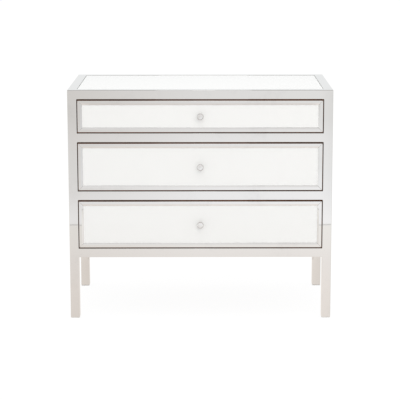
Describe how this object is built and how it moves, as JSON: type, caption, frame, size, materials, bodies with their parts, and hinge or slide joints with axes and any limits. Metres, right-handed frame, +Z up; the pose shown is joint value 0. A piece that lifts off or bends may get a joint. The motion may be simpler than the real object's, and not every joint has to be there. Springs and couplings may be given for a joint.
{
  "type": "nightstand",
  "caption": "Wide nightstand: polished square-tube frame, white glass top and inset drawer fronts in mitred metal trim, round knobs, drawers on ball-bearing slides.",
  "frame": {"origin": "on the floor, at the middle of the footprint with the knobs included", "axes": "+X to the right as seen from the front, +Y from the drawers towards the back, +Z up"},
  "size_m": [0.864, 0.4964, 0.762],
  "materials": {
    "polished_steel": "mirror-polished stainless steel",
    "white_glass": "clear glass painted white on its back",
    "white_lacquer": "satin white lacquer on board",
    "dark_wood": "dark brown stained veneer",
    "pale_wood": "clear-lacquered birch",
    "zinc_steel": "zinc-plated steel",
    "glide_nylon": "grey nylon"
  },
  "bodies": {
    "cabinet": {"front_left_leg": "polished_steel", "front_right_leg": "polished_steel", "rear_left_leg": "polished_steel", "rear_right_leg": "polished_steel", "front_top_rail": "polished_steel", "front_upper_rail": "polished_steel", "front_lower_rail": "polished_steel", "front_bottom_rail": "polished_steel", "rear_top_rail": "polished_steel", "rear_bottom_rail": "polished_steel", "left_top_rail": "polished_steel", "left_bottom_rail": "polished_steel", "right_top_rail": "polished_steel", "right_bottom_rail": "polished_steel", "leg_glides": "glide_nylon", "support_tabs": "polished_steel", "sub_top": "dark_wood", "top_glass": "white_glass", "left_side_panel": "white_lacquer", "right_side_panel": "white_lacquer", "back_panel": "dark_wood", "bottom_panel": "dark_wood", "slide_battens": "dark_wood", "case_screws": "zinc_steel", "top_slide_outer_members": "zinc_steel", "middle_slide_outer_members": "zinc_steel", "bottom_slide_outer_members": "zinc_steel"},
    "top_drawer": {"top_drawer_glass": "white_glass", "top_drawer_trim": "polished_steel", "top_drawer_front_board": "dark_wood", "top_drawer_box_sides": "pale_wood", "top_drawer_box_front": "pale_wood", "top_drawer_box_back": "pale_wood", "top_drawer_box_bottom": "pale_wood", "top_drawer_knob": "polished_steel", "top_drawer_screws": "zinc_steel", "top_slide_inner_members": "zinc_steel"},
    "top_cages": {"top_slide_ball_cages": "zinc_steel"},
    "middle_drawer": {"middle_drawer_glass": "white_glass", "middle_drawer_trim": "polished_steel", "middle_drawer_front_board": "dark_wood", "middle_drawer_box_sides": "pale_wood", "middle_drawer_box_front": "pale_wood", "middle_drawer_box_back": "pale_wood", "middle_drawer_box_bottom": "pale_wood", "middle_drawer_knob": "polished_steel", "middle_drawer_screws": "zinc_steel", "middle_slide_inner_members": "zinc_steel"},
    "middle_cages": {"middle_slide_ball_cages": "zinc_steel"},
    "bottom_drawer": {"bottom_drawer_glass": "white_glass", "bottom_drawer_trim": "polished_steel", "bottom_drawer_front_board": "dark_wood", "bottom_drawer_box_sides": "pale_wood", "bottom_drawer_box_front": "pale_wood", "bottom_drawer_box_back": "pale_wood", "bottom_drawer_box_bottom": "pale_wood", "bottom_drawer_knob": "polished_steel", "bottom_drawer_screws": "zinc_steel", "bottom_slide_inner_members": "zinc_steel"},
    "bottom_cages": {"bottom_slide_ball_cages": "zinc_steel"}
  },
  "joints": [
    {"name": "top_drawer_slide", "type": "slide", "parent": "cabinet", "child": "top_drawer", "axis": [0, -1, 0], "range_m": [0, 0.25]},
    {"name": "middle_drawer_slide", "type": "slide", "parent": "cabinet", "child": "middle_drawer", "axis": [0, -1, 0], "range_m": [0, 0.25]},
    {"name": "bottom_drawer_slide", "type": "slide", "parent": "cabinet", "child": "bottom_drawer", "axis": [0, -1, 0], "range_m": [0, 0.25]},
    {"name": "top_cage_roll", "type": "slide", "parent": "cabinet", "child": "top_cages", "axis": [0, -1, 0], "range_m": [0, 0.125]},
    {"name": "middle_cage_roll", "type": "slide", "parent": "cabinet", "child": "middle_cages", "axis": [0, -1, 0], "range_m": [0, 0.125]},
    {"name": "bottom_cage_roll", "type": "slide", "parent": "cabinet", "child": "bottom_cages", "axis": [0, -1, 0], "range_m": [0, 0.125]}
  ],
  "couplings": [
    {"joint": "top_cage_roll", "follows": "top_drawer_slide", "ratio": 0.5},
    {"joint": "middle_cage_roll", "follows": "middle_drawer_slide", "ratio": 0.5},
    {"joint": "bottom_cage_roll", "follows": "bottom_drawer_slide", "ratio": 0.5}
  ]
}
